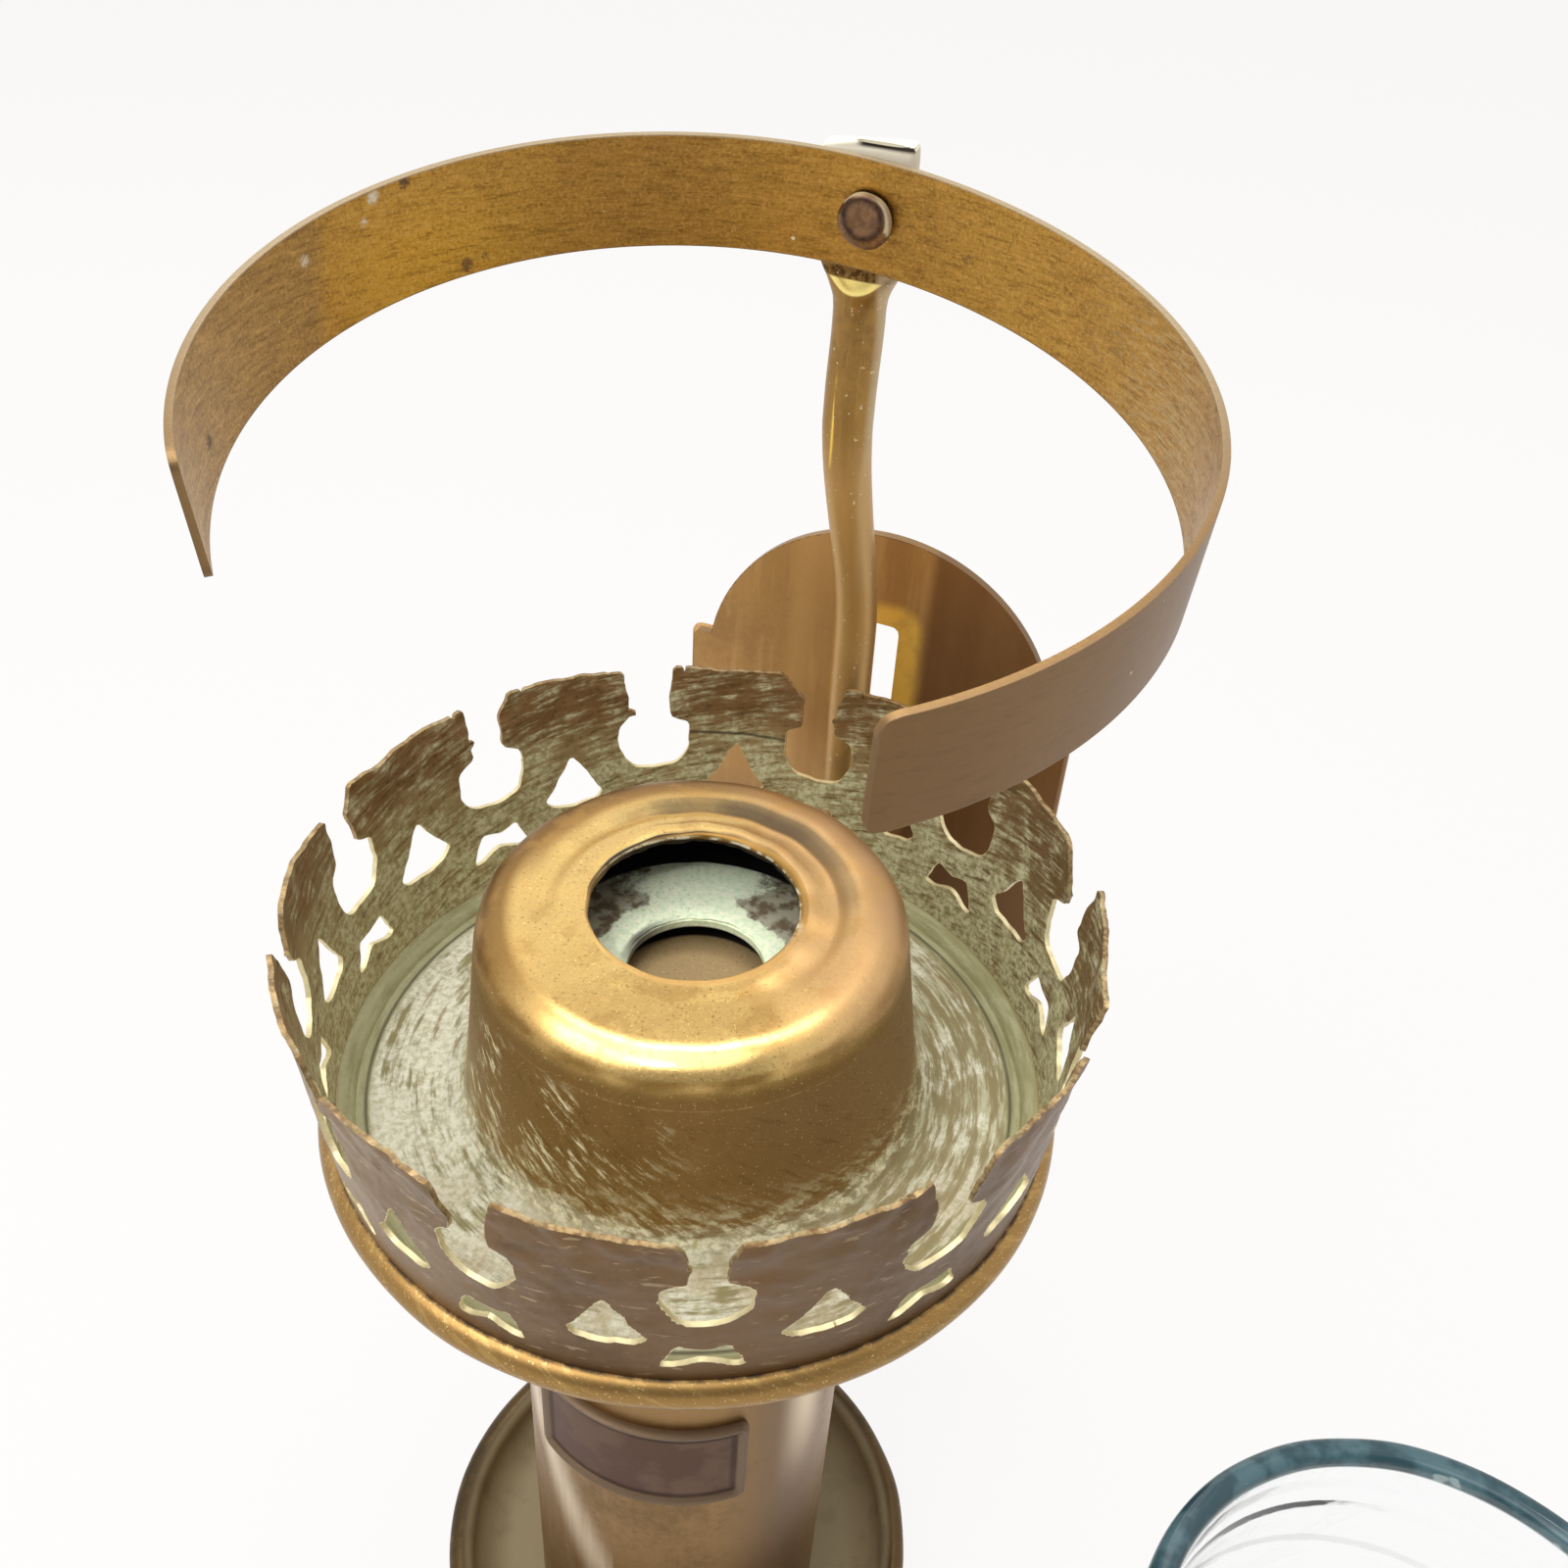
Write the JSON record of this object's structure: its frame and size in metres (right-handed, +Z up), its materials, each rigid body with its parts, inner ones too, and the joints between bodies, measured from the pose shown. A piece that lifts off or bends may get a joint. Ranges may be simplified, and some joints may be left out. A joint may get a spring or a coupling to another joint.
{
  "type": "railway carriage candle lamp",
  "caption": "Brass railway carriage candle lamp: sprung candle column on a saucer, pierced gallery, wall plate, open ring on a rod and a glass chimney beside it.",
  "frame": {"origin": "middle of the underside of the saucer base, on the axis of the candle column", "axes": "+Z up along the column; +Y towards the wall plate at the back; -Y is the front, where the ring is open"},
  "size_m": [0.1527, 0.1129, 0.1851],
  "materials": {
    "saucer_brass": "aged satin, verdigris in the hollow",
    "column_brass": "aged satin",
    "dome_brass": "polished by handling, speckled",
    "crown_brass": "verdigris inside, brown outside",
    "plate_brass": "polished",
    "rod_brass": "aged",
    "ring_brass": "aged, scratched",
    "nozzle_brass": "crusted with verdigris",
    "follower_brass": "dark",
    "name_brass": "dark, matt field",
    "inner_brass": "aged",
    "rivet_metal": "dark oxide",
    "spring_steel": "oiled",
    "clear_glass": "clear, ground rim"
  },
  "bodies": {
    "lamp": {"base_dish": "saucer_brass", "spring_seat": "inner_brass", "candle_tube": "column_brass", "stop_ring": "inner_brass", "gallery_pins": "spring_steel", "nozzle_pins": "spring_steel", "name_plate": "name_brass", "candle_spring": "spring_steel", "wall_plate": "plate_brass", "standoff_bracket": "inner_brass", "bracket_rivets": "rivet_metal", "lamp_rod": "rod_brass", "rod_collar": "rod_brass", "rod_nut": "rod_brass", "ring_washer": "rod_brass", "ring_rivet": "rivet_metal"},
    "gallery": {"gallery_dish": "dome_brass", "gallery_crown": "crown_brass", "gallery_sleeve": "inner_brass"},
    "nozzle": {"nozzle_cap": "nozzle_brass"},
    "follower": {"follower_cup": "follower_brass"},
    "ring": {"retaining_ring": "ring_brass"},
    "chimney": {"glass_chimney": "clear_glass"}
  },
  "joints": [
    {"name": "gallery_turn", "type": "hinge", "parent": "lamp", "child": "gallery", "pos_m": [0, 0, 0.1], "axis": [0, 0, 1], "range_deg": [0, 32]},
    {"name": "nozzle_turn", "type": "hinge", "parent": "lamp", "child": "nozzle", "pos_m": [0, 0, 0.114], "axis": [0, 0, 1], "range_deg": [0, 32]},
    {"name": "follower_slide", "type": "slide", "parent": "lamp", "child": "follower", "axis": [0, 0, 1], "range_m": [-0.075, 0], "stiffness_N_per_m": 40, "springref_m": 0.05, "deforming": ["candle_spring"]},
    {"name": "ring_swing", "type": "hinge", "parent": "lamp", "child": "ring", "pos_m": [-0.0012, 0.0359, 0.1785], "axis": [0, 0.9803, 0.1977], "range_deg": [-40, 40]},
    {"name": "chimney_lift", "type": "slide", "parent": "lamp", "child": "chimney", "axis": [0, 0, 1], "range_m": [0, 0.06]}
  ]
}
